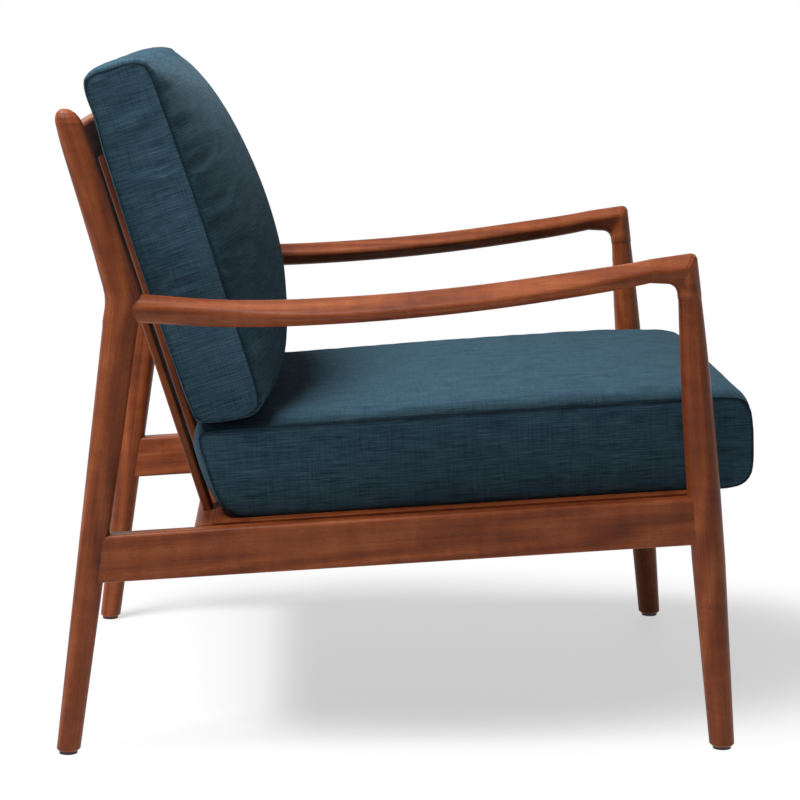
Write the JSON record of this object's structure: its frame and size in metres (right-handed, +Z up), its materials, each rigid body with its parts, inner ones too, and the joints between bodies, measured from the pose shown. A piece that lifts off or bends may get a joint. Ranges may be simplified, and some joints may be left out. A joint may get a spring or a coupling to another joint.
{
  "type": "lounge armchair",
  "caption": "Wooden lounge armchair with a slatted reclined back, sculpted paddle arms turned down over round tapered legs, and loose box cushions for seat and back.",
  "frame": {"origin": "on the floor, at the middle of the box that holds the whole chair", "axes": "+Z up, the sitter faces -Y, +X to the sitter's left"},
  "size_m": [0.71, 0.804, 0.7975],
  "materials": {
    "stained_wood": "satin, walnut stained",
    "deck_wood": "plain, lightly stained",
    "dowel_wood": "raw",
    "upholstery": "woven, slubbed",
    "fibre_wrap": "soft fibre",
    "foam": "open foam",
    "webbing": "woven elastic",
    "zip_tape": "matt",
    "screw_steel": "zinc plated",
    "glide_plastic": "matt"
  },
  "bodies": {
    "frame": {"arm_dowels": "dowel_wood", "armrest_left": "stained_wood", "armrest_right": "stained_wood", "back_slat_1": "stained_wood", "back_slat_2": "stained_wood", "back_slat_3": "stained_wood", "back_slat_4": "stained_wood", "block_screws": "screw_steel", "cleat_screws": "screw_steel", "corner_block_front_left": "deck_wood", "corner_block_front_right": "deck_wood", "corner_block_rear_left": "deck_wood", "corner_block_rear_right": "deck_wood", "crest_dowels": "dowel_wood", "crest_rail": "stained_wood", "deck_cleat_left": "deck_wood", "deck_cleat_right": "deck_wood", "deck_dowels": "dowel_wood", "deck_front": "deck_wood", "deck_rear": "deck_wood", "deck_screws": "screw_steel", "deck_side_left": "deck_wood", "deck_side_right": "deck_wood", "foot_glide_front_left": "glide_plastic", "foot_glide_front_right": "glide_plastic", "foot_glide_rear_left": "glide_plastic", "foot_glide_rear_right": "glide_plastic", "front_leg_left": "stained_wood", "front_leg_right": "stained_wood", "front_seat_rail": "stained_wood", "lower_back_dowels": "dowel_wood", "lower_back_rail": "stained_wood", "rear_post_left": "stained_wood", "rear_post_right": "stained_wood", "side_rail_left": "stained_wood", "side_rail_right": "stained_wood", "strap_cross_1": "webbing", "strap_cross_2": "webbing", "strap_cross_3": "webbing", "strap_cross_4": "webbing", "strap_long_1": "webbing", "strap_long_2": "webbing", "strap_long_3": "webbing", "strap_long_4": "webbing", "strap_long_5": "webbing", "webbing_staples": "screw_steel"},
    "seat_cushion": {"seat_cushion_core": "foam", "seat_cushion_cover": "upholstery", "seat_cushion_wrap": "fibre_wrap", "seat_cushion_zip": "zip_tape"},
    "back_cushion": {"back_cushion_core": "foam", "back_cushion_cover": "upholstery", "back_cushion_wrap": "fibre_wrap", "back_cushion_zip": "zip_tape"}
  },
  "joints": [
    {"name": "seat_cushion_lift_off", "type": "slide", "parent": "frame", "child": "seat_cushion", "axis": [0, -0.9982, 0.0602], "range_m": [0, 0.72]},
    {"name": "back_cushion_lift_off", "type": "slide", "parent": "frame", "child": "back_cushion", "axis": [0, 0, 1], "range_m": [0, 0.6]}
  ]
}
